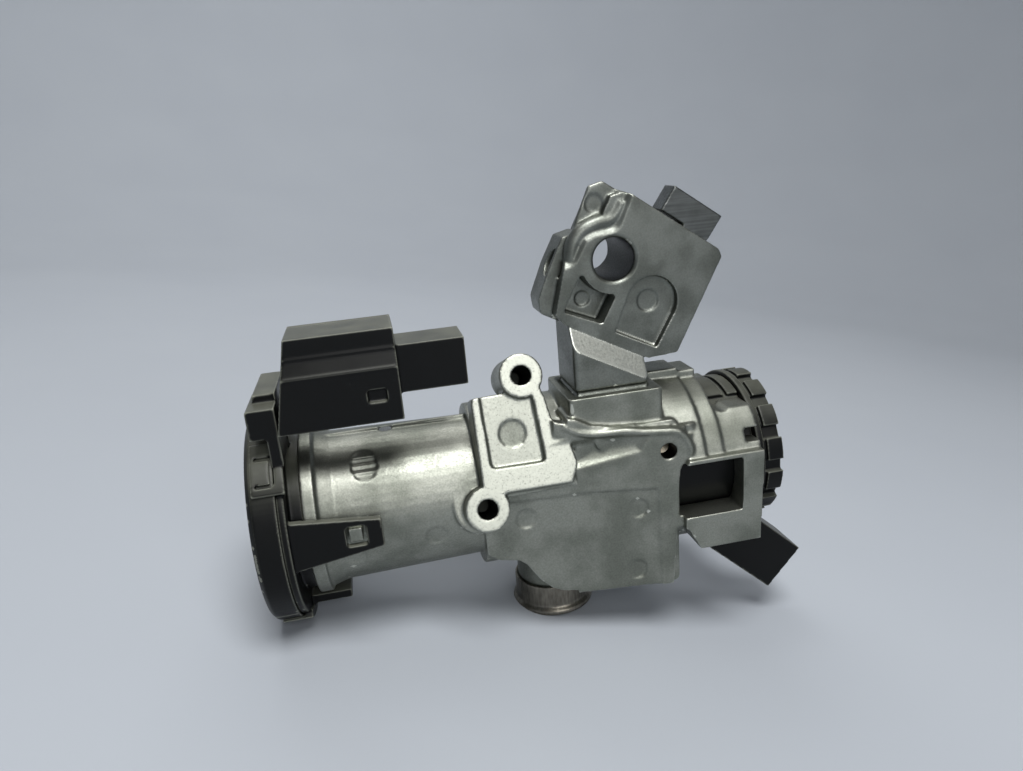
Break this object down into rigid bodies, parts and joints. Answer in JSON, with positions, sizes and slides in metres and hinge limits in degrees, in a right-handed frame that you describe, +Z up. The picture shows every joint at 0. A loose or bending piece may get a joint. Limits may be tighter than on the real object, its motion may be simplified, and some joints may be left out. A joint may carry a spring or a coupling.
{
  "type": "ignition switch",
  "caption": "Key-operated ignition switch with a die-cast steering column lock, sprung lock bolt, aerial ring round the key tube and a rotary contact switch with a plug.",
  "frame": {"origin": "middle of the column bore, halfway between the front and back walls of the column block", "axes": "+X along the key axis from the aerial ring to the switch, +Y along the column bore away from the mounting face, +Z up the neck"},
  "size_m": [0.131, 0.0487, 0.1066],
  "materials": {
    "die_cast": "as-cast satin grey with brighter machined faces",
    "bolt_steel": "ground dark steel",
    "spring_steel": "drawn spring wire",
    "cap_steel": "pressed steel with a warm tarnish",
    "cylinder_zinc": "satin zinc alloy",
    "wafer_brass": "stamped brass",
    "black_plastic": "fine satin moulding",
    "coil_copper": "enamelled copper winding",
    "board": "solder-masked laminate",
    "contact_brass": "bright contact metal",
    "rotor_plastic": "natural moulding",
    "insulator": "phenolic sheet"
  },
  "bodies": {
    "lock": {"lock_housing": "die_cast", "column_block": "die_cast", "bottom_cap": "cap_steel", "bolt_spring": "spring_steel", "shaft_plate": "die_cast", "cylinder_sleeve": "cylinder_zinc", "sleeve_pin": "bolt_steel", "face_bezel": "black_plastic", "aerial_ring": "black_plastic", "aerial_carrier": "black_plastic", "aerial_coil": "coil_copper", "aerial_box": "black_plastic", "box_lid": "black_plastic", "circuit_board": "board", "plug_pins": "contact_brass", "switch_drum": "black_plastic", "switch_case": "black_plastic", "contact_plate": "insulator", "switch_terminals": "contact_brass"},
    "key_drive": {"key_barrel": "cylinder_zinc", "wafers": "wafer_brass", "drive_shaft": "bolt_steel", "switch_rotor": "rotor_plastic", "contact_bridges": "contact_brass", "contact_springs": "spring_steel"},
    "slider": {"bolt_slider": "bolt_steel"},
    "bolt": {"lock_bolt": "bolt_steel", "bolt_pin": "bolt_steel"}
  },
  "joints": [
    {"name": "key_turn", "type": "hinge", "parent": "lock", "child": "key_drive", "pos_m": [-0.0644, 0, -0.0518], "axis": [1, 0, 0], "range_deg": [0, 110]},
    {"name": "slider_drop", "type": "slide", "parent": "lock", "child": "slider", "axis": [0, 0, 1], "range_m": [-0.00501, 0], "deforming": ["bolt_spring"]},
    {"name": "bolt_slide", "type": "slide", "parent": "lock", "child": "bolt", "axis": [0.5736, 0, 0.8192], "range_m": [-0.00612, 0]}
  ],
  "couplings": [
    {"joint": "slider_drop", "follows": "key_turn", "m_per_rad": -0.0026044},
    {"joint": "bolt_slide", "follows": "key_turn", "m_per_rad": -0.0031793}
  ]
}
